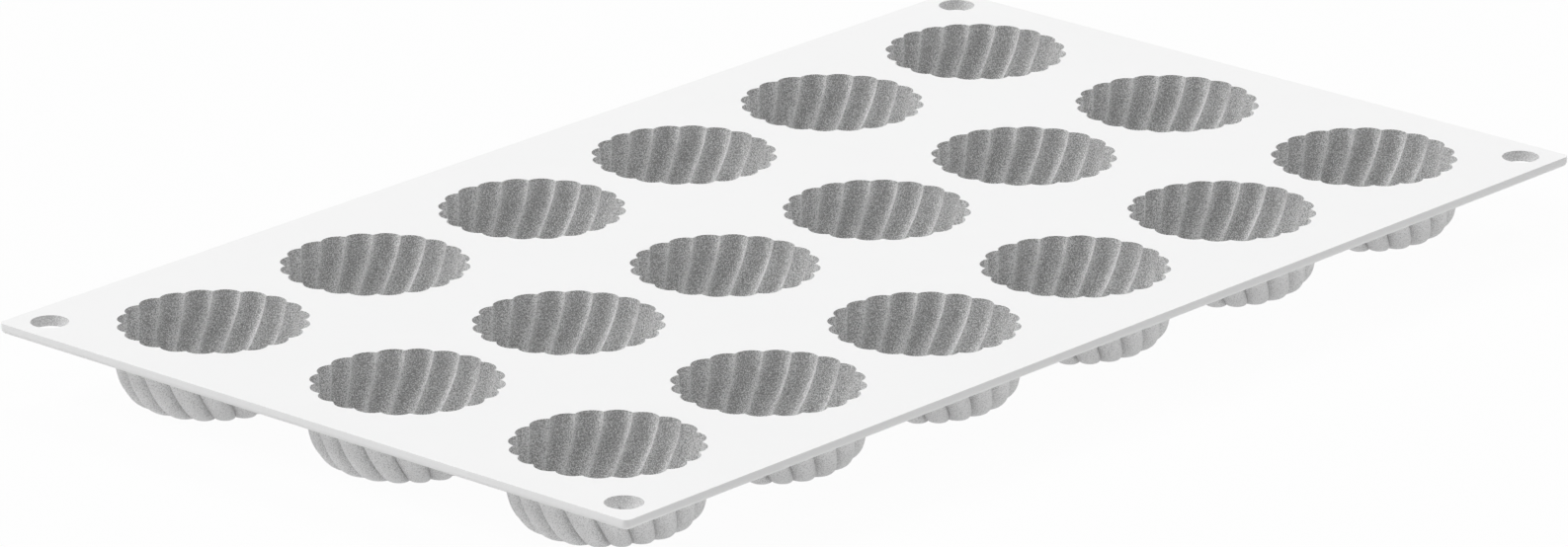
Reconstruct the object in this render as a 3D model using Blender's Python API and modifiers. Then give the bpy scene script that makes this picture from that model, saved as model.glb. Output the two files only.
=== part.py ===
"""Silicone mould for small individual cakes, in metres, +Z up, standing on the feet of its cups.

One moulding: a flat sheet with three rows of six fluted cups hanging from it. It is divided where a
maker would name its parts, into the sheet and the cups, each a solid of its own.
"""
import math

import bmesh
import bpy
from mathutils import Vector

# Rows of cups
CUP_COLUMNS = 6
CUP_ROWS = 3
LAND_ALONG = 0.006
LAND_ACROSS = 0.013
MARGIN_ENDS = 0.009
MARGIN_SIDES = 0.0115

# Sheet
SHEET_THICKNESS = 0.00235
SHEET_CORNER_RADIUS = 0.0016
SHEET_LOWER_EDGE_RADIUS = 0.0013
CORNER_HOLE_RADIUS = 0.004
CORNER_HOLE_INSET = 0.0075

# Cup: the outside of its wall is one curve, straight down at the mouth and level at the foot
MOUTH_RADIUS = 0.020
CUP_WALL = 0.001
CAVITY_DEPTH = 0.0161
FOOT_RADIUS = 0.009
WALL_REACH = 0.0142
FLOOR_REACH = 0.0098

# Flutes: round lobes that meet in sharp ridges inside, and turn as they go down
LOBES = 20
RIDGE_HEIGHT_AT_MOUTH = 0.00125
RIDGE_HEIGHT_BELOW = 0.0025
FULL_RIDGE_DEPTH = 0.0139
LOBE_ROUNDNESS = 0.84
SWIRL_TURN = math.radians(19)
SWIRL_GROWTH = 1.5

# Clearance between the sheet's underside and the lip of each cup
LIP_GAP = 0.0003

# How finely round shapes are divided
POINTS_PER_LOBE = 2
OUTER_RINGS = (0.0, 0.32, 0.58, 0.8, 1.0)
INNER_RINGS = (0.0, 0.4, 0.72, 1.0)
HOLE_SIDES = 24
EDGE_SEGMENTS = 2
CUT_OVERRUN = 0.001
MERGE_DISTANCE = 0.00001
HALVINGS = 40

# Worked out from the sizes above
CUP_RADIUS = MOUTH_RADIUS + CUP_WALL
CUP_DEPTH = CAVITY_DEPTH + CUP_WALL
PITCH_ALONG = 2 * CUP_RADIUS + LAND_ALONG
PITCH_ACROSS = 2 * CUP_RADIUS + LAND_ACROSS
SHEET_LENGTH = (CUP_COLUMNS - 1) * PITCH_ALONG + 2 * (CUP_RADIUS + MARGIN_ENDS)
SHEET_WIDTH = (CUP_ROWS - 1) * PITCH_ACROSS + 2 * (CUP_RADIUS + MARGIN_SIDES)
TOP_HEIGHT = CUP_DEPTH
LIP_DEPTH = SHEET_THICKNESS + LIP_GAP

WHITE_SILICONE = (0.90, 0.90, 0.90, 1.0)
GREY_SILICONE = (0.77, 0.77, 0.77, 1.0)


def clear_scene():
    for thing in list(bpy.data.objects):
        bpy.data.objects.remove(thing, do_unlink=True)


def new_collection(name):
    collection = bpy.data.collections.new(name)
    bpy.context.scene.collection.children.link(collection)
    return collection


def silicone(name, colour, roughness):
    material = bpy.data.materials.new(name)
    material.use_nodes = True
    shader = material.node_tree.nodes["Principled BSDF"]
    shader.inputs["Base Color"].default_value = colour
    shader.inputs["Roughness"].default_value = roughness
    shader.inputs["Metallic"].default_value = 0.0
    return material


def add_object(name, mesh, collection, material=None):
    thing = bpy.data.objects.new(name, mesh)
    collection.objects.link(thing)
    if material:
        mesh.materials.append(material)
    return thing


def wall_curve(t):
    """Outside of the plain wall at t from 0, the mouth, to 1, the foot: (radius, depth) and outward normal.

    It is a cubic Bezier curve whose handles stand upright at the mouth and lie level at the foot.
    """
    ends = (Vector((CUP_RADIUS, 0)), Vector((FOOT_RADIUS, CUP_DEPTH)))
    handles = (ends[0] + Vector((0, WALL_REACH)), ends[1] + Vector((FLOOR_REACH, 0)))
    u = 1 - t
    point = u**3 * ends[0] + 3 * u * u * t * handles[0] + 3 * u * t * t * handles[1] + t**3 * ends[1]
    along = u * u * (handles[0] - ends[0]) + 2 * u * t * (handles[1] - handles[0]) + t * t * (ends[1] - handles[1])
    return point, Vector((along.y, -along.x)).normalized()


def curve_place(depth):
    """The wall curve's t at a depth below the sheet's top face, by halving."""
    low, high = 0.0, 1.0
    for _ in range(HALVINGS):
        middle = (low + high) / 2
        if wall_curve(middle)[0].y < depth:
            low = middle
        else:
            high = middle
    return low


def wall_rings(shares, wall):
    """Rings from the lip to the foot, as (radius, depth), a wall's thickness inside the outer curve."""
    start = curve_place(LIP_DEPTH)
    rings = []
    for share in shares:
        point, normal = wall_curve(start + share * (1 - start))
        rings.append(point - wall * normal)
    rings[0].y = LIP_DEPTH
    return rings


def lobe_dip(angle):
    """How far the round lobe has curved in at an angle: 0 at its crown, 1 at the ridge between two lobes."""
    half = math.pi / LOBES
    across = ((angle + half) % (2 * half) - half) / half
    fall = 1 - math.sqrt(1 - (LOBE_ROUNDNESS * across)**2)
    return fall / (1 - math.sqrt(1 - LOBE_ROUNDNESS**2))


def flute(mesh):
    """Press the lobes into a turned mesh, and turn each level by the swirl at its depth."""
    for vertex in mesh.vertices:
        x, y, z = vertex.co
        depth = max(TOP_HEIGHT - z, 0)
        radius = math.hypot(x, y)
        angle = math.atan2(y, x)
        growth = min(depth / FULL_RIDGE_DEPTH, 1)
        height = RIDGE_HEIGHT_AT_MOUTH + growth * (RIDGE_HEIGHT_BELOW - RIDGE_HEIGHT_AT_MOUTH)
        radius *= 1 - height / MOUTH_RADIUS * lobe_dip(angle)
        angle += SWIRL_TURN * (depth / CUP_DEPTH)**SWIRL_GROWTH
        vertex.co = (radius * math.cos(angle), radius * math.sin(angle), z)


def fluted_mesh(name, outline):
    """A closed mesh: the outline of (radius, depth) points is turned about Z by a Screw modifier, then fluted."""
    profile = bpy.data.meshes.new(name)
    points = [(point.x, 0, TOP_HEIGHT - point.y) for point in outline]
    edges = [(i, i + 1) for i in range(len(points) - 1)]
    profile.from_pydata(points, edges, [])
    turned = bpy.data.objects.new(name, profile)
    bpy.context.scene.collection.objects.link(turned)
    screw = turned.modifiers.new("turn", "SCREW")
    screw.axis = "Z"
    screw.steps = LOBES * POINTS_PER_LOBE
    screw.render_steps = screw.steps
    screw.use_merge_vertices = True
    screw.merge_threshold = MERGE_DISTANCE
    evaluated = turned.evaluated_get(bpy.context.evaluated_depsgraph_get())
    mesh = bpy.data.meshes.new_from_object(evaluated)
    bpy.data.objects.remove(turned)
    flute(mesh)
    mesh.name = name
    return mesh


def split_into_triangles(mesh):
    """Divide each four-sided face along its shorter way, so that both sides of a wall fold alike."""
    work = bmesh.new()
    work.from_mesh(mesh)
    bmesh.ops.triangulate(work, faces=work.faces, quad_method="SHORT_EDGE")
    work.to_mesh(mesh)
    work.free()


def cup_mesh():
    """One cup: from the middle of its floor up the inside, over the lip, down the outside and under the foot."""
    inside = wall_rings(INNER_RINGS, CUP_WALL)
    outside = wall_rings(OUTER_RINGS, 0)
    floor_centre = Vector((0, CAVITY_DEPTH))
    foot_centre = Vector((0, CUP_DEPTH))
    mesh = fluted_mesh("cup", [floor_centre, *reversed(inside), *outside, foot_centre])
    split_into_triangles(mesh)
    return mesh


def mouth_cutter_mesh():
    """The shape of a cup's mouth as an upright plug that stands on the level of the sheet's top face."""
    length = SHEET_THICKNESS + 2 * CUT_OVERRUN
    outline = [(0, -length), (MOUTH_RADIUS, -length), (MOUTH_RADIUS, 0), (0, 0)]
    return fluted_mesh("mouth", [Vector(place) for place in outline])


def hole_cutter_mesh():
    """A round peg for a corner hole, centred on the sheet's thickness."""
    mesh = bpy.data.meshes.new("corner_hole")
    work = bmesh.new()
    bmesh.ops.create_cone(work, cap_ends=True, segments=HOLE_SIDES, radius1=CORNER_HOLE_RADIUS,
                          radius2=CORNER_HOLE_RADIUS, depth=SHEET_THICKNESS + 2 * CUT_OVERRUN)
    work.to_mesh(mesh)
    work.free()
    return mesh


def sheet_mesh():
    """The flat sheet before it is cut: upright corners rounded, then its lower edge, and the top edge crisp."""
    mesh = bpy.data.meshes.new("sheet")
    work = bmesh.new()
    bmesh.ops.create_cube(work, size=1)
    bmesh.ops.scale(work, vec=(SHEET_LENGTH, SHEET_WIDTH, SHEET_THICKNESS), verts=work.verts)
    bmesh.ops.translate(work, vec=(0, 0, TOP_HEIGHT - SHEET_THICKNESS / 2), verts=work.verts)
    upright = [edge for edge in work.edges if abs(edge.verts[0].co.z - edge.verts[1].co.z) > SHEET_THICKNESS / 2]
    bmesh.ops.bevel(work, geom=upright, offset=SHEET_CORNER_RADIUS, segments=EDGE_SEGMENTS, profile=0.5,
                    affect="EDGES")
    middle = TOP_HEIGHT - SHEET_THICKNESS / 2
    lower = [edge for edge in work.edges if all(vertex.co.z < middle for vertex in edge.verts)]
    bmesh.ops.bevel(work, geom=lower, offset=SHEET_LOWER_EDGE_RADIUS, segments=EDGE_SEGMENTS, profile=0.5,
                    affect="EDGES")
    work.to_mesh(mesh)
    work.free()
    return mesh


def cup_places():
    """Each cup's row, column and centre, from the front left."""
    for row in range(CUP_ROWS):
        for column in range(CUP_COLUMNS):
            x = (column - (CUP_COLUMNS - 1) / 2) * PITCH_ALONG
            y = (row - (CUP_ROWS - 1) / 2) * PITCH_ACROSS
            yield row + 1, column + 1, Vector((x, y, 0))


def corner_hole_places():
    x = SHEET_LENGTH / 2 - CORNER_HOLE_INSET
    y = SHEET_WIDTH / 2 - CORNER_HOLE_INSET
    for side_x in (-1, 1):
        for side_y in (-1, 1):
            yield Vector((side_x * x, side_y * y, TOP_HEIGHT - SHEET_THICKNESS / 2))


def add_cutter(name, mesh, place, cutters):
    cutter = add_object(name, mesh, cutters)
    cutter.location = place
    cutter.hide_render = True
    cutter.display_type = "WIRE"


def build_cutters(cutters):
    mouth = mouth_cutter_mesh()
    into_the_sheet = Vector((0, 0, -SHEET_THICKNESS - CUT_OVERRUN))
    for row, column, place in cup_places():
        add_cutter(f"mouth_row{row}_column{column}", mouth, place + into_the_sheet, cutters)
    hole = hole_cutter_mesh()
    for number, place in enumerate(corner_hole_places(), start=1):
        add_cutter(f"corner_hole_{number}", hole, place, cutters)


def build_sheet(parts, cutters):
    sheet = add_object("sheet", sheet_mesh(), parts, silicone("sheet_silicone", WHITE_SILICONE, 0.45))
    openings = sheet.modifiers.new("openings", "BOOLEAN")
    openings.operation = "DIFFERENCE"
    openings.solver = "EXACT"
    openings.operand_type = "COLLECTION"
    openings.collection = cutters


def build_cups(parts):
    mesh = cup_mesh()
    mesh.materials.append(silicone("cup_silicone", GREY_SILICONE, 0.6))
    for row, column, place in cup_places():
        cup = add_object(f"cup_row{row}_column{column}", mesh, parts)
        cup.location = place


def main():
    clear_scene()
    parts = new_collection("individual_cake_mould")
    cutters = new_collection("cutters")
    build_cutters(cutters)
    build_sheet(parts, cutters)
    build_cups(parts)


main()
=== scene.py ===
"""Silicone mould for small individual cakes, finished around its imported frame.

The file is laid out as a Blender add-on and is run as a script. Sizes are in metres and +Z is up. The
smooth white sheet and the matt fluted cups are surfaces worked out with numpy, and stand where the frame
has them.
"""
import math

import bmesh
import bpy
import numpy as np
from bpy.props import FloatProperty, FloatVectorProperty, IntProperty, PointerProperty
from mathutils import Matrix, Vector


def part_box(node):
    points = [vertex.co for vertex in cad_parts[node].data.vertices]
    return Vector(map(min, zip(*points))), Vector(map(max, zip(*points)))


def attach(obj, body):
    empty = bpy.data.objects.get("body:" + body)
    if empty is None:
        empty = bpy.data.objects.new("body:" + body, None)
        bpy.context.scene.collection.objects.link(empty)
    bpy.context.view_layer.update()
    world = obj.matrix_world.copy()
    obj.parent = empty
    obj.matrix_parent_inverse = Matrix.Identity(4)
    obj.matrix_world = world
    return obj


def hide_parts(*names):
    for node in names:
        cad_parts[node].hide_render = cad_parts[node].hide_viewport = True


bl_info = {
    "name": "Individual Cake Mould",
    "version": (1, 0, 0),
    "blender": (4, 5, 0),
    "location": "3D View > Sidebar > Cake Mould",
    "description": "Makes a silicone mould of fluted cups for small cakes, and its studio",
    "category": "Add Mesh",
}

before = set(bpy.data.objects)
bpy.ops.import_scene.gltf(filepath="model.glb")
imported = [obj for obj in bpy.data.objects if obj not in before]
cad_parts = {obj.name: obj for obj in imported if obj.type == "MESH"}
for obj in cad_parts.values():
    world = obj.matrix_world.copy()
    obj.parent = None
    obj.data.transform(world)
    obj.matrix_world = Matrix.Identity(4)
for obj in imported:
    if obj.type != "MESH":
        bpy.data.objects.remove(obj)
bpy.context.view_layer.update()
SHEET_LOW, SHEET_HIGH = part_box("sheet")
CUP_NODES = sorted(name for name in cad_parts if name.startswith("cup_"))
CUP_BOXES = {name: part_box(name) for name in CUP_NODES}
CUP_PLACES = {name: ((low + high) / 2).xy for name, (low, high) in CUP_BOXES.items()}
FOOT_HEIGHT = CUP_BOXES[CUP_NODES[0]][0].z

# How finely round shapes are divided
POINTS_PER_LOBE = 12
INSIDE_RINGS = 34
OUTSIDE_RINGS = 30
FLOOR_SHARES = (0.0, 0.35, 0.7)
HOLE_POINTS = 96
CORNER_POINTS = 13
EDGE_ROWS = 7
LAND_SHARES = (0.0, 0.3, 1.0)
CORNER_SPREAD = math.radians(6)
CURVE_SAMPLES = 400
PLACE_DIGITS = 6
SAME_ANGLE = 0.000001
WELD_DISTANCE = 0.000001
SEAM_GAP = 0.00001
SHARP_ANGLE = math.radians(35)

# The silicone close up: sizes and depths of its clouds, grain and speckles, and how much each one changes
NOISE_ROUGHNESS = 0.6
SMOOTH_CLOUD_SIZE = 0.035
SMOOTH_CLOUD_SHARE = 0.015
SMOOTH_GRAIN_SIZE = 0.0005
SMOOTH_BUMP = {"Strength": 0.04, "Distance": 0.00005}
SMOOTH_ROUGHNESS_SPREAD = 0.08
SMOOTH_SPECULAR = 0.3
MATT_CLOUD_SIZE = 0.006
MATT_CLOUD_CONTRAST = 0.25
MATT_BUMP = {"Strength": 0.6, "Distance": 0.00006}
MATT_ROUGHNESS_SPREAD = 0.3
MATT_SPECULAR = 0.25
SPECKLE_CONTRAST = 4
# Mean of the painted shading that lightens ridges and crowns and darkens hollows; the level floor and foot
# get it
MEAN_PAINTED_RELIEF_SHADING = 0.35
WHITE = (1.0, 1.0, 1.0, 1.0)

# The camera, from the photograph: its eye is measured from the middle of the sheet's top face
CAMERA_EYE = Vector((-1.60009, -1.42006, 0.73720))
CAMERA_AZIMUTH = math.radians(-48.313)
CAMERA_ELEVATION = math.radians(19.206)
CAMERA_LENS = 247.27
CAMERA_SENSOR = 36.0
CAMERA_CLIP = (0.1, 100.0)

# Soft lamps: each one's angle from the camera's side, anticlockwise seen from above, and its height
LAMPS = {"back": (180, 50), "left": (270, 42), "front": (315, 50), "right": (90, 60), "low": (60, 5)}
LAMP_WIDTH = math.radians(30)


def direction(azimuth, elevation):
    """Unit vector towards an azimuth, 0 towards -Y and anticlockwise seen from above, and an elevation."""
    level = math.cos(elevation)
    return Vector((math.sin(azimuth) * level, -math.cos(azimuth) * level, math.sin(elevation)))


def length(name, description, default):
    return FloatProperty(name=name, description=description, default=default, min=0.0, precision=5,
                         unit="LENGTH")


def share(name, description, default):
    return FloatProperty(name=name, description=description, default=default, min=0.0, max=1.0,
                         subtype="FACTOR")


def grey(name, description, level):
    return FloatVectorProperty(name=name, description=description, default=(level, level, level), size=3,
                               min=0.0, max=1.0, subtype="COLOR")


class CakeMouldSizes(bpy.types.PropertyGroup):
    """Sizes of the sheet and of its cups."""
    sheet_thickness: length("Sheet thickness", "Thickness of the flat sheet", SHEET_HIGH.z - SHEET_LOW.z)
    corner_radius: length("Corner radius", "Radius of the sheet's upright corners", 0.0014)
    lower_edge_radius: length("Lower edge radius", "Radius of the sheet's lower edge", 0.0013)
    hole_radius: length("Hole radius", "Radius of the round hole at each corner", 0.004)
    hole_inset: length("Hole inset", "Distance from a hole's centre to the sheet's two near edges", 0.0075)
    mouth_radius: length("Mouth radius", "Radius of a cup's mouth at the crowns of its lobes", 0.020)
    cup_wall: length("Cup wall", "Thickness of a cup's wall", 0.001)
    foot_radius: length("Foot radius", "Radius of the flat foot under a cup", 0.009)
    wall_reach: length("Wall reach", "How far the wall's curve leans on the upright at its mouth", 0.0142)
    floor_reach: length("Floor reach", "How far the wall's curve leans on the level at its foot", 0.0098)
    lobes: IntProperty(name="Lobes", description="Number of round lobes in a cup", default=20, min=3)
    lobe_roundness: share("Lobe roundness", "How much of a half circle each lobe follows", 0.84)
    ridge_at_mouth: length("Ridge at mouth", "Height of the ridges between lobes at the mouth", 0.00125)
    ridge_below: length("Ridge below", "Height of the ridges at their full depth", 0.0025)
    full_ridge_depth: length("Full ridge depth", "Depth at which the ridges reach full height", 0.0139)
    swirl_turn: FloatProperty(
        name="Swirl turn", description="Turn of the lobes from the mouth to the foot",
        default=math.radians(19), subtype="ANGLE")
    swirl_growth: FloatProperty(
        name="Swirl growth", description="Power with which the turn grows with depth", default=1.5, min=1.0)


class CakeMouldFinish(bpy.types.PropertyGroup):
    """Colours and textures of the silicone; the greys of the matt silicone are painted shade."""
    sheet_colour: grey("Sheet", "Colour of the smooth white silicone", 0.90)
    # Painted shade: the cups' inside is painted darker grey than the white sheet, for the shade in their
    # hollows
    lining_shaded_colour: grey("Cup inside", "Colour of the matt silicone inside the cups", 0.655)
    # Painted shade: the cups' outside is painted greyer than the white sheet, for the shade under the sheet
    outside_shaded_colour: grey("Cup outside", "Colour of the matt silicone outside the cups", 0.80)
    # Painted shade: the hole walls are painted greyer than the white sheet, for the shade in the holes
    hole_shaded_colour: grey("Hole wall", "Colour of the matt silicone in the corner holes", 0.815)
    lining_speckle: share("Speckle inside", "How far the speckles leave the colour inside the cups", 0.42)
    outside_speckle: share("Speckle outside", "How far the speckles leave the colour outside the cups", 0.2)
    hole_speckle: share("Speckle in holes", "How far the speckles leave the colour in the holes", 0.2)
    speckle_size: length("Speckle size", "Width of one speckle", 0.00025)
    # Painted shade: how much the matt silicone is painted lighter on ridges and crowns and darker in the
    # hollows
    painted_relief_shading_share: share("Proud share", "How much lighter the matt silicone is where it stands proud", 0.6)
    sheet_roughness: share("Sheet roughness", "Roughness of the smooth white silicone", 0.5)
    matt_roughness: share("Matt roughness", "Roughness of the matt silicone", 0.75)


class CakeMouldStudio(bpy.types.PropertyGroup):
    """Light and floor of the studio."""
    back_strength: share("Back lamp", "Brightness that it gives a white card facing it", 0.30)
    left_strength: share("Left lamp", "Brightness that it gives a white card facing it", 0.45)
    front_strength: share("Front left lamp", "Brightness that it gives a white card facing it", 0.22)
    right_strength: share("Right lamp", "Brightness that it gives a white card facing it", 0.23)
    low_strength: share("Low lamp", "Brightness that it gives a white card facing it", 0.14)
    sky_strength: share("Sky", "Brightness of the even light from all around", 0.03)
    floor_colour: grey("Floor", "Colour of the floor", 0.50)
    floor_light: share("Floor light", "Brightness of the light that comes up through the floor", 0.34)
    floor_white: share("Floor white", "How much of the floor that the camera sees is plain white", 0.94)
    floor_size: length("Floor size", "Side of the square floor", 30.0)


def wall_curve(sizes, t):
    """Outside of the plain wall at each t, from 0 at the mouth to 1 at the foot, and its outward normal.

    In (radius, depth) it is the cubic Bezier curve (1-t)^3 A + 3 (1-t)^2 t B + 3 (1-t) t^2 C + t^3 D. A is
    the mouth and B lies straight below it; D is the foot's edge and C lies level with it, further out.
    """
    mouth = np.array([sizes.mouth_radius + sizes.cup_wall, 0.0])
    foot = np.array([sizes.foot_radius, SHEET_HIGH.z - FOOT_HEIGHT])
    below = mouth + [0.0, sizes.wall_reach]
    beside = foot + [sizes.floor_reach, 0.0]
    t = np.asarray(t)[:, None]
    u = 1 - t
    point = u**3 * mouth + 3 * u * u * t * below + 3 * u * t * t * beside + t**3 * foot
    along = u * u * (below - mouth) + 2 * u * t * (beside - below) + t * t * (foot - beside)
    normal = np.stack([along[:, 1], -along[:, 0]], axis=1)
    return point, normal / np.linalg.norm(normal, axis=1, keepdims=True)


def underside_point(sizes):
    """Where the outside of the plain wall meets the sheet's underside: its t and its (radius, depth)."""
    t = np.linspace(0, 1, CURVE_SAMPLES)
    point, _ = wall_curve(sizes, t)
    meeting = np.interp(sizes.sheet_thickness, point[:, 1], t)
    return meeting, wall_curve(sizes, [meeting])[0][0]


def lobe_angles(sizes):
    """Angles round a cup. Within each lobe they are the sines of even steps, closer at the ridges."""
    steep = math.asin(sizes.lobe_roundness)
    within = np.sin(np.linspace(-steep, steep, POINTS_PER_LOBE, endpoint=False)) / sizes.lobe_roundness
    crowns = np.arange(sizes.lobes)[:, None] * 2
    return ((crowns + within) * math.pi / sizes.lobes).ravel()


def lobe_dip(sizes, angle):
    """How far a lobe has curved in at each angle: 0 at its crown and 1 at the ridge between two lobes.

    With a from -1 to 1 across a lobe and c its roundness, it is (1 - sqrt(1 - (c a)^2)) over
    (1 - sqrt(1 - c^2)).
    """
    half = math.pi / sizes.lobes
    across = ((angle + half) % (2 * half) - half) / half
    c = sizes.lobe_roundness
    return (1 - np.sqrt(1 - (c * across)**2)) / (1 - math.sqrt(1 - c * c))


def fluted(sizes, radius, depth, angle):
    """Points of a turned shape after its lobes are pressed in and it is swirled: x, y, z on the last axis.

    The radius loses the lobe's dip times the ridge's height over the mouth's radius, and the angle gains
    the swirl times (depth / full depth)^growth.
    """
    growth = np.clip(depth / sizes.full_ridge_depth, 0, 1)
    ridge = sizes.ridge_at_mouth + growth * (sizes.ridge_below - sizes.ridge_at_mouth)
    reach = radius * (1 - ridge / sizes.mouth_radius * lobe_dip(sizes, angle))
    full_depth = SHEET_HIGH.z - FOOT_HEIGHT
    turned = angle + sizes.swirl_turn * np.clip(depth / full_depth, 0, 1)**sizes.swirl_growth
    height = SHEET_HIGH.z - depth + 0 * angle
    return np.stack([reach * np.cos(turned), reach * np.sin(turned), height], axis=-1)


def grid_quads(rows, columns, first=0):
    """Corner numbers of the quads between the rows of a grid whose last column meets its first."""
    number = first + np.arange(rows * columns).reshape(rows, columns)
    number = np.hstack([number, number[:, :1]])
    return np.stack([number[:-1, :-1], number[1:, :-1], number[1:, 1:], number[:-1, 1:]], axis=-1)


def add_piece(name, points, quads, materials, finish_numbers=None, attributes=()):
    """A mesh object from arrays: unused points go, equal points are welded, and sharp edges are marked."""
    used, corners = np.unique(quads, return_inverse=True)
    mesh = bpy.data.meshes.new(name)
    mesh.from_pydata(points[used], [], corners.reshape(-1, 4))
    for material in materials:
        mesh.materials.append(material)
    if finish_numbers is not None:
        mesh.polygons.foreach_set("material_index", finish_numbers)
    for attribute, values in dict(attributes).items():
        mesh.attributes.new(attribute, "FLOAT", "POINT").data.foreach_set("value", values[used])
    work = bmesh.new()
    work.from_mesh(mesh)
    bmesh.ops.remove_doubles(work, verts=work.verts, dist=WELD_DISTANCE)
    work.to_mesh(mesh)
    work.free()
    mesh.shade_smooth()
    mesh.set_sharp_from_angle(angle=SHARP_ANGLE)
    piece = bpy.data.objects.new(name, mesh)
    bpy.context.scene.collection.objects.link(piece)
    return piece


def cup_surface(sizes):
    """One cup about the origin: points in rows round it, which of them are outside, and the painted shading
    of each.

    A profile of (radius, depth) is turned about Z: from the middle of the floor up the inside, over the
    sloping lip that the sheet hides, down the outside and under the foot. Its painted shading is highest on
    the ridges inside and on the lobes' crowns outside, which are painted lighter, and lowest in the hollows
    between, which are painted darker as shade; the level floor and foot have one mean value.
    """
    inside, inward = wall_curve(sizes, np.linspace(1, 0, INSIDE_RINGS))
    inside = inside - sizes.cup_wall * inward
    meeting, _ = underside_point(sizes)
    outside, _ = wall_curve(sizes, np.linspace(meeting, 1, OUTSIDE_RINGS))
    shares = np.array(FLOOR_SHARES)[:, None]
    floor = inside[:1] * np.hstack([shares, shares**0])
    foot = outside[-1:] * np.hstack([shares, shares**0])[::-1]
    profile = np.vstack([floor, inside, outside, foot])
    lip = len(floor) + INSIDE_RINGS
    profile[lip - 1:lip + 1, 0] -= SEAM_GAP
    angle = lobe_angles(sizes)
    points = fluted(sizes, profile[:, :1], profile[:, 1:], angle[None, :])
    is_outside = (np.arange(len(profile)) >= lip)[:, None] + 0.0 * angle
    # Painted shade: lighter on the ridges inside and the lobes' crowns outside, darker in the hollows
    # between
    dip = lobe_dip(sizes, angle)
    painted_relief_shading = np.where(is_outside > 0, 1 - dip, dip)
    painted_relief_shading[:len(floor)] = painted_relief_shading[-len(foot):] = MEAN_PAINTED_RELIEF_SHADING
    return points, {"outside": is_outside.ravel(), "painted_relief_shading": painted_relief_shading.ravel()}


def around(angle):
    """Points of the unit circle at each angle."""
    return np.column_stack([np.cos(angle), np.sin(angle)])


def angles_to(places):
    """Angle at which each point is seen from the origin."""
    return np.arctan2(places[:, 1], places[:, 0])


def ray_length(angle, east, north, west, south, notch=None):
    """How far a ray from a cell's centre runs, at each angle, to the cell's border.

    It is the lesser of the sides that it faces over |cos| and over |sin|. A notch (x, y) takes off the
    corner beyond it, where the ray stops at the greater of |x| over |cos| and |y| over |sin|.
    """
    cos, sin = np.cos(angle), np.sin(angle)
    with np.errstate(divide="ignore"):
        reach = np.minimum(np.where(cos > 0, east, west) / np.abs(cos),
                           np.where(sin > 0, north, south) / np.abs(sin))
        if notch is not None:
            faces = (cos * notch[0] > 0) & (sin * notch[1] > 0)
            stop = np.maximum(abs(notch[0]) / np.abs(cos), abs(notch[1]) / np.abs(sin))
            reach = np.where(faces, np.minimum(reach, stop), reach)
    return reach


def outline_point(sizes, place, inset):
    """Where each border point of the sheet lies once its outline is rounded and moved in by an inset.

    The outline is all that is one corner radius from the core rectangle: the core's nearest point plus
    (radius - inset) times the direction from it. Also says which points are on the outline.
    """
    radius = sizes.corner_radius
    core = np.clip(place, np.array(SHEET_LOW.xy) + radius, np.array(SHEET_HIGH.xy) - radius)
    away = place - core
    distance = np.linalg.norm(away, axis=1, keepdims=True)
    on_outline = distance[:, 0] > radius - WELD_DISTANCE
    moved = core + away / np.maximum(distance, WELD_DISTANCE) * (radius - inset)
    return np.where(on_outline[:, None], moved, place), on_outline


def clear_of_edge(sizes, place):
    """Which border points are on the sheet's outline or further in than its lower edge's round reaches.

    The rest would fold the underside out past the round. Cells that meet drop the same points.
    """
    inward = np.minimum(place - np.array(SHEET_LOW.xy), np.array(SHEET_HIGH.xy) - place).min(axis=1)
    return outline_point(sizes, place, 0.0)[1] | (inward > sizes.lower_edge_radius + WELD_DISTANCE)


def edge_rows(sizes):
    """Inset and depth of the rows down the sheet's side: the crisp upper edge, then the round lower edge.

    The round is a quarter circle: inset = radius (1 - cos a) and depth = thickness - radius (1 - sin a).
    """
    a = np.linspace(0, math.pi / 2, EDGE_ROWS)
    radius = sizes.lower_edge_radius
    inset = np.concatenate([[0.0], radius * (1 - np.cos(a))])
    depth = np.concatenate([[0.0], sizes.sheet_thickness - radius * (1 - np.sin(a))])
    return inset, depth


def sheet_patch(sizes, border, top_loop, bottom_loop):
    """The sheet between an opening and a border: over the top, down the side, under it and up the opening.

    The top and the underside are ruled between the opening's loop and the border; the side is there only
    where the border is the sheet's own outline. Gives points in rows and a mask of the quads that stay.
    """
    insets, depths = edge_rows(sizes)
    rows = []
    rim, on_outline = outline_point(sizes, border, 0.0)
    for land in LAND_SHARES[:-1]:
        rows.append((top_loop + (rim - top_loop) * land, 0.0))
    for inset, depth in zip(insets, depths):
        rows.append((outline_point(sizes, border, inset)[0], depth))
    under = rows[-1][0]
    for land in LAND_SHARES[-2::-1]:
        rows.append((bottom_loop + (under - bottom_loop) * land, sizes.sheet_thickness))
    rows.append(rows[0])
    points = np.stack([np.column_stack([place, np.full(len(place), SHEET_HIGH.z - depth)])
                       for place, depth in rows])
    stays = np.ones((len(rows) - 1, len(border)), bool)
    first_side = len(LAND_SHARES) - 1
    stays[first_side:first_side + len(insets) - 1] = on_outline & np.roll(on_outline, -1)
    return points, stays


def corners_of(east, north, west, south, notch):
    """Corner points of a cell about its centre, with the three of its notch if it has one."""
    corners = [(east, north), (-west, north), (-west, -south), (east, -south)]
    if notch is not None:
        x, y = notch
        corners += [(x, y), (east if x > 0 else -west, y), (x, north if y > 0 else -south)]
    return np.array(corners)


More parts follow.
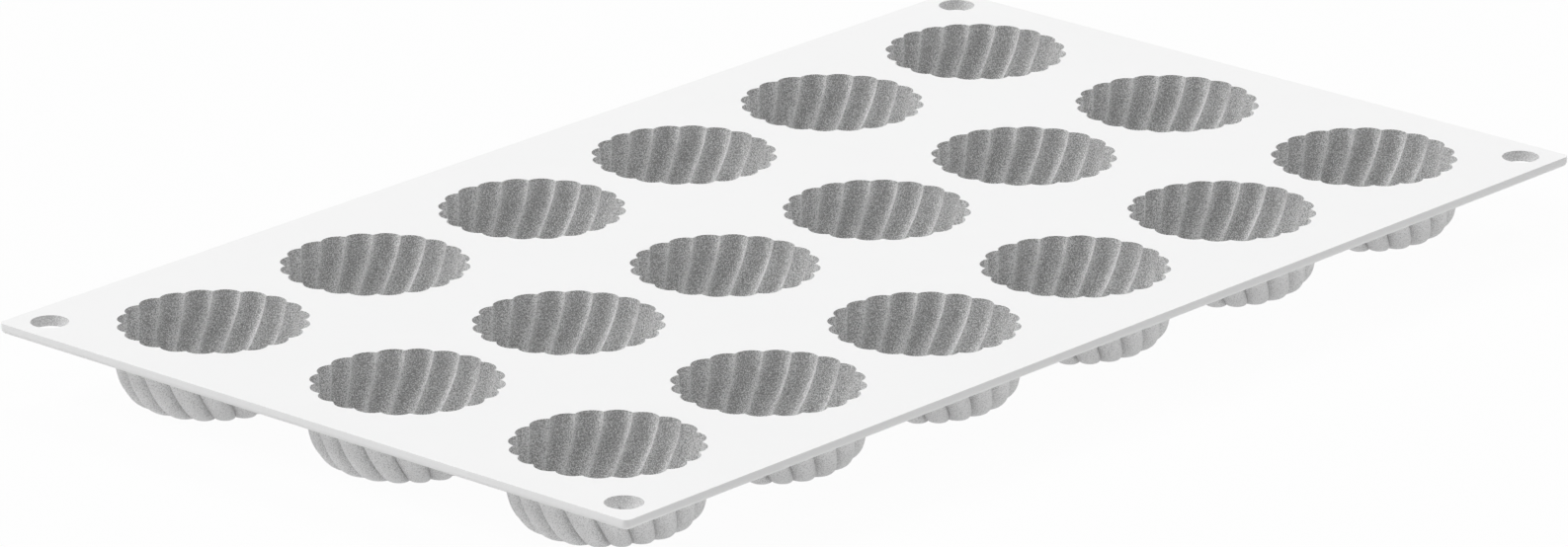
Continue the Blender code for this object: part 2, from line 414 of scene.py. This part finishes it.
def cell_sides(place, columns, rows):
    """How far the cell of the cup at a place reaches east, north, west and south of it.

    It ends halfway to the next cup, or at the sheet's own edge beside the last one.
    """
    x, y = place
    half_along, half_across = (columns[1] - columns[0]) / 2, (rows[1] - rows[0]) / 2
    return np.array([SHEET_HIGH.x - x if x > columns[-2] else half_along,
                     SHEET_HIGH.y - y if y > rows[-2] else half_across,
                     x - SHEET_LOW.x if x < columns[1] else half_along,
                     y - SHEET_LOW.y if y < rows[1] else half_across])


def sheet_corner(sides):
    """The corner of a cell, about its centre, that is a corner of the sheet, or None if it has none."""
    lean = sides[:2] - sides[2:]
    if (np.abs(lean) <= WELD_DISTANCE).any():
        return None
    return np.copysign(np.maximum(sides[:2], sides[2:]), lean)


def cup_patch(sizes, centre, sides, notch):
    """The border points of a cup's cell, and the sheet's patch between them and the cup's mouth."""
    angle = np.concatenate([lobe_angles(sizes), angles_to(corners_of(*sides, notch))])
    angle = np.unique(angle % math.tau)
    border = centre + ray_length(angle, *sides, notch)[:, None] * around(angle)
    clear = clear_of_edge(sizes, border)
    angle, border = angle[clear], border[clear]
    _, (radius, depth) = underside_point(sizes)
    mouth = centre + fluted(sizes, sizes.mouth_radius, 0.0, angle)[:, :2]
    under = centre + fluted(sizes, radius, depth, angle)[:, :2]
    return border, sheet_patch(sizes, border, mouth, under)


def hole_patch(sizes, hole, outward, border):
    """The sheet's patch about a corner hole. It shares the points of the next cell's border that it meets.

    Outward holds the signs of the sheet's corner. The sides that are the sheet's own have even steps of
    angle, and closer ones about the rounded corner.
    """
    shared = border[(border - hole) @ outward < WELD_DISTANCE]
    shared = shared[np.abs(shared - hole).max(axis=1) < sizes.hole_inset + WELD_DISTANCE]
    own = np.concatenate([np.linspace(-math.pi / 2, math.pi / 2, HOLE_POINTS // 2 + 1),
                          np.linspace(-1, 1, CORNER_POINTS) * CORNER_SPREAD])
    own = math.atan2(outward[1], outward[0]) + own
    angle = np.sort(np.concatenate([angles_to(shared - hole), own]) % math.tau)
    angle = angle[np.diff(angle, prepend=angle[-1] - math.tau) > SAME_ANGLE]
    edge = hole + ray_length(angle, *[sizes.hole_inset] * 4)[:, None] * around(angle)
    bore = hole + sizes.hole_radius * around(angle)
    return sheet_patch(sizes, edge, bore, bore)


def sheet_surface(sizes):
    """The sheet: a patch about each cup's mouth and each corner hole, which meet at their borders.

    Gives its points, its quads, and for each quad the number of its material: 1 on the holes' walls.
    """
    places = np.array([CUP_PLACES[name] for name in CUP_NODES])
    columns, rows = (np.unique(np.round(line, PLACE_DIGITS)) for line in places.T)
    patches = []
    for place in places:
        sides = cell_sides(place, columns, rows)
        corner = sheet_corner(sides)
        outward = None if corner is None else np.sign(corner)
        notch = None if corner is None else corner - 2 * sizes.hole_inset * outward
        border, patch = cup_patch(sizes, place, sides, notch)
        patches.append((*patch, 0))
        if corner is not None:
            hole = place + corner - sizes.hole_inset * outward
            patches.append((*hole_patch(sizes, hole, outward, border), 1))
    points, quads, finish_numbers, first = [], [], [], 0
    for grid, stays, wall_number in patches:
        numbers = np.zeros(stays.shape, int)
        numbers[-1] = wall_number
        points.append(grid.reshape(-1, 3))
        quads.append(grid_quads(*grid.shape[:2], first)[stays])
        finish_numbers.append(numbers[stays])
        first += grid.shape[0] * grid.shape[1]
    return np.concatenate(points), np.concatenate(quads), np.concatenate(finish_numbers)


class Value:
    """An output socket of a node. Python's arithmetic on it adds Math nodes."""

    def __init__(self, nodes, socket):
        self.nodes = nodes
        self.socket = socket

    def math(self, operation, first, second):
        return self.nodes.add("Math", {"operation": operation}, {0: first, 1: second})

    def __add__(self, other):
        return self.math("ADD", self, other)

    def __radd__(self, other):
        return self.math("ADD", other, self)

    def __sub__(self, other):
        return self.math("SUBTRACT", self, other)

    def __rsub__(self, other):
        return self.math("SUBTRACT", other, self)

    def __mul__(self, other):
        return self.math("MULTIPLY", self, other)

    def __rmul__(self, other):
        return self.math("MULTIPLY", other, self)


class Nodes:
    """The node tree of a material or of the world, empty at first."""

    def __init__(self, owner):
        owner.use_nodes = True
        self.tree = owner.node_tree
        self.tree.nodes.clear()

    def add(self, kind, settings=(), sockets=(), output=0):
        """A node of a kind: its settings first, then values or links of its sockets. Gives one output."""
        node = self.tree.nodes.new(f"ShaderNode{kind}")
        for name, setting in dict(settings).items():
            setattr(node, name, setting)
        for name, value in dict(sockets).items():
            if isinstance(value, Value):
                self.tree.links.new(value.socket, node.inputs[name])
            else:
                node.inputs[name].default_value = value
        return Value(self, node.outputs[output]) if node.outputs else None

    def noise(self, where, size, detail):
        """Cloudy noise from 0 to 1 whose spots are of one size."""
        return self.add("TexNoise", {}, {"Vector": where, "Scale": 1 / size, "Detail": detail,
                                         "Roughness": NOISE_ROUGHNESS})

    def blend(self, factor, first, second):
        """One colour mixed into another."""
        return self.add("Mix", {"data_type": "RGBA"}, {0: factor, 6: first, 7: second}, output=2)

    def seen_or_mirrored(self):
        """1 on rays from the camera, from glossy surfaces and through clear ones, and 0 on the rest."""
        seen, mirrored, passed = [self.add("LightPath", output=f"Is {kind} Ray")
                                  for kind in ("Camera", "Glossy", "Transmission")]
        return seen.math("MAXIMUM", seen.math("MAXIMUM", seen, mirrored), passed)


def times(colour, factor):
    """A colour scaled by a number, as red, green, blue and alpha."""
    return (*[min(part * factor, 1.0) for part in colour], 1.0)


def smooth_silicone(finish):
    """White silicone from a polished mould: faint clouding, and a grain too fine to see."""
    material = bpy.data.materials.new("smooth_white_silicone")
    nodes = Nodes(material)
    where = nodes.add("TexCoord", output="Object")
    clouds = nodes.noise(where, SMOOTH_CLOUD_SIZE, 3.0)
    grain = nodes.noise(where, SMOOTH_GRAIN_SIZE, 2.0)
    colour = nodes.blend(clouds, times(finish.sheet_colour, 1 - SMOOTH_CLOUD_SHARE),
                         times(finish.sheet_colour, 1 + SMOOTH_CLOUD_SHARE))
    roughness = finish.sheet_roughness + (clouds + grain - 1) * SMOOTH_ROUGHNESS_SPREAD
    bump = nodes.add("Bump", {}, {**SMOOTH_BUMP, "Height": grain})
    shader = nodes.add("BsdfPrincipled", {}, {
        "Base Color": colour, "Roughness": roughness,
        "Specular IOR Level": SMOOTH_SPECULAR, "Normal": bump})
    nodes.add("OutputMaterial", {}, {"Surface": shader})
    return material


def matt_silicone(name, finish, inside, outside):
    """Silicone from a spark-eroded mould: fine light and dark speckles, each a tiny pit or bump.

    Inside and outside are each a colour, painted greyer than the white sheet as shade, and how far its
    speckles leave it. The mesh's attributes say which of the two a face has, and its painted shading:
    lighter on ridges and crowns, darker in the hollows between them.
    """
    material = bpy.data.materials.new(name)
    nodes = Nodes(material)
    where = nodes.add("TexCoord", output="Object")
    speckle = nodes.noise(where, finish.speckle_size, 1.0)
    clouds = nodes.noise(where, MATT_CLOUD_SIZE, 2.0)
    painted_relief_shading = nodes.add("Attribute", {"attribute_name": "painted_relief_shading"}, output="Fac")
    is_outside = nodes.add("Attribute", {"attribute_name": "outside"}, output="Fac")
    # The spread mixes speckles, clouds and painted shade, which lightens ridges and crowns and darkens
    # hollows
    spread = ((speckle - 0.5) * SPECKLE_CONTRAST + (clouds - 0.5) * MATT_CLOUD_CONTRAST
              + (painted_relief_shading - MEAN_PAINTED_RELIEF_SHADING) * finish.painted_relief_shading_share + 0.5)
    colours = [nodes.blend(spread, times(colour, 1 - speckles), times(colour, 1 + speckles))
               for colour, speckles in (inside, outside)]
    roughness = finish.matt_roughness + (speckle - 0.5) * MATT_ROUGHNESS_SPREAD
    bump = nodes.add("Bump", {}, {**MATT_BUMP, "Height": speckle})
    shader = nodes.add("BsdfPrincipled", {}, {
        "Base Color": nodes.blend(is_outside, *colours), "Roughness": roughness,
        "Specular IOR Level": MATT_SPECULAR, "Normal": bump})
    nodes.add("OutputMaterial", {}, {"Surface": shader})
    return material


def floor_material(studio):
    """Pale floor. Most of what the camera sees of it is plain white, so its shadow stays but is faint."""
    material = bpy.data.materials.new("studio_floor")
    nodes = Nodes(material)
    plain = nodes.add("BsdfDiffuse", {}, {"Color": times(studio.floor_colour, 1.0)})
    white = nodes.add("Emission", {}, {"Color": WHITE, "Strength": 1.0})
    light = nodes.add("Emission", {}, {"Color": WHITE, "Strength": studio.floor_light})
    lit = nodes.add("AddShader", {}, {0: plain, 1: light})
    mixed = nodes.add("MixShader", {}, {0: nodes.seen_or_mirrored() * studio.floor_white, 1: lit, 2: white})
    nodes.add("OutputMaterial", {}, {"Surface": mixed})
    return material


def add_lamp(name, azimuth, elevation, strength):
    """A soft lamp far away. Its strength is the brightness that it gives a white card facing it."""
    lamp = bpy.data.lights.new(name, "SUN")
    lamp.energy = strength * math.pi
    lamp.angle = LAMP_WIDTH
    holder = bpy.data.objects.new(name, lamp)
    bpy.context.scene.collection.objects.link(holder)
    towards = direction(CAMERA_AZIMUTH + math.radians(azimuth), math.radians(elevation))
    holder.rotation_euler = towards.to_track_quat("Z", "Y").to_euler()


class CakeMouldSheetOperator(bpy.types.Operator):
    """Make the white sheet with its mouths and corner holes"""
    bl_idname = "cake_mould.sheet"
    bl_label = "Sheet"

    def execute(self, context):
        sizes, finish = context.scene.cake_mould_sizes, context.scene.cake_mould_finish
        points, quads, finish_numbers = sheet_surface(sizes)
        # Painted shade: the hole walls get a greyed copy of the sheet's silicone
        wall = (finish.hole_shaded_colour, finish.hole_speckle)
        materials = [smooth_silicone(finish), matt_silicone("hole_silicone_painted_shade", finish, wall, wall)]
        sheet = add_piece("mould_sheet", points, quads, materials, finish_numbers)
        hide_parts("sheet")
        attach(sheet, "root")
        return {"FINISHED"}


class CakeMouldCupsOperator(bpy.types.Operator):
    """Make the fluted cups that hang from the sheet"""
    bl_idname = "cake_mould.cups"
    bl_label = "Cups"

    def execute(self, context):
        sizes, finish = context.scene.cake_mould_sizes, context.scene.cake_mould_finish
        inside = (finish.lining_shaded_colour, finish.lining_speckle)
        outside = (finish.outside_shaded_colour, finish.outside_speckle)
        # Painted shade: the cups' inside and outside colours are greyed for the shade in and under them
        silicone = matt_silicone("matt_silicone_painted_shade", finish, inside, outside)
        grid, attributes = cup_surface(sizes)
        quads = grid_quads(*grid.shape[:2])
        for node in CUP_NODES:
            points = grid.reshape(-1, 3) + [*CUP_PLACES[node], 0]
            cup = add_piece(f"fluted_{node}", points, quads, [silicone], attributes=attributes)
            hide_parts(node)
            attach(cup, "root")
        return {"FINISHED"}


class CakeMouldStageOperator(bpy.types.Operator):
    """Make the floor, the soft light and the camera"""
    bl_idname = "cake_mould.stage"
    bl_label = "Stage"

    def execute(self, context):
        scene, studio = context.scene, context.scene.cake_mould_studio
        half = studio.floor_size / 2
        corners = [(-half, -half, 0), (half, -half, 0), (half, half, 0), (-half, half, 0)]
        mesh = bpy.data.meshes.new("floor")
        mesh.from_pydata(corners, [], [(0, 1, 2, 3)])
        mesh.materials.append(floor_material(studio))
        floor = bpy.data.objects.new("floor", mesh)
        scene.collection.objects.link(floor)

        scene.world = bpy.data.worlds.new("studio")
        nodes = Nodes(scene.world)
        seen = nodes.seen_or_mirrored()
        strength = seen + (1 - seen) * studio.sky_strength
        sky = nodes.add("Background", {}, {"Color": WHITE, "Strength": strength})
        nodes.add("OutputWorld", {}, {"Surface": sky})
        for name, (azimuth, elevation) in LAMPS.items():
            add_lamp(name, azimuth, elevation, getattr(studio, f"{name}_strength"))

        camera = bpy.data.objects.new("camera", bpy.data.cameras.new("camera"))
        scene.collection.objects.link(camera)
        camera.data.lens = CAMERA_LENS
        camera.data.sensor_width = CAMERA_SENSOR
        camera.data.clip_start, camera.data.clip_end = CAMERA_CLIP
        camera.location = Vector((0, 0, SHEET_HIGH.z)) + CAMERA_EYE
        away = direction(CAMERA_AZIMUTH, CAMERA_ELEVATION)
        camera.rotation_euler = away.to_track_quat("Z", "Y").to_euler()
        scene.camera = camera
        scene.view_settings.view_transform = "Standard"
        return {"FINISHED"}


class CakeMouldPanel(bpy.types.Panel):
    """Buttons and sizes of the cake mould"""
    bl_idname = "VIEW3D_PT_cake_mould"
    bl_label = "Cake Mould"
    bl_space_type = "VIEW_3D"
    bl_region_type = "UI"
    bl_category = "Cake Mould"

    def draw(self, context):
        for operator in OPERATORS:
            self.layout.operator(operator.bl_idname)
        for owner in (context.scene.cake_mould_sizes, context.scene.cake_mould_finish,
                      context.scene.cake_mould_studio):
            box = self.layout.box()
            for name in owner.__annotations__:
                box.prop(owner, name)


GROUPS = {"cake_mould_sizes": CakeMouldSizes, "cake_mould_finish": CakeMouldFinish,
          "cake_mould_studio": CakeMouldStudio}
OPERATORS = (CakeMouldStageOperator, CakeMouldSheetOperator, CakeMouldCupsOperator)


def register():
    for kind in (*GROUPS.values(), *OPERATORS, CakeMouldPanel):
        bpy.utils.register_class(kind)
    for name, group in GROUPS.items():
        setattr(bpy.types.Scene, name, PointerProperty(type=group))


def unregister():
    for name in GROUPS:
        delattr(bpy.types.Scene, name)
    for kind in (CakeMouldPanel, *OPERATORS, *GROUPS.values()):
        bpy.utils.unregister_class(kind)


def main():
    register()
    bpy.ops.cake_mould.stage()
    bpy.ops.cake_mould.sheet()
    bpy.ops.cake_mould.cups()


if __name__ == "__main__":
    main()
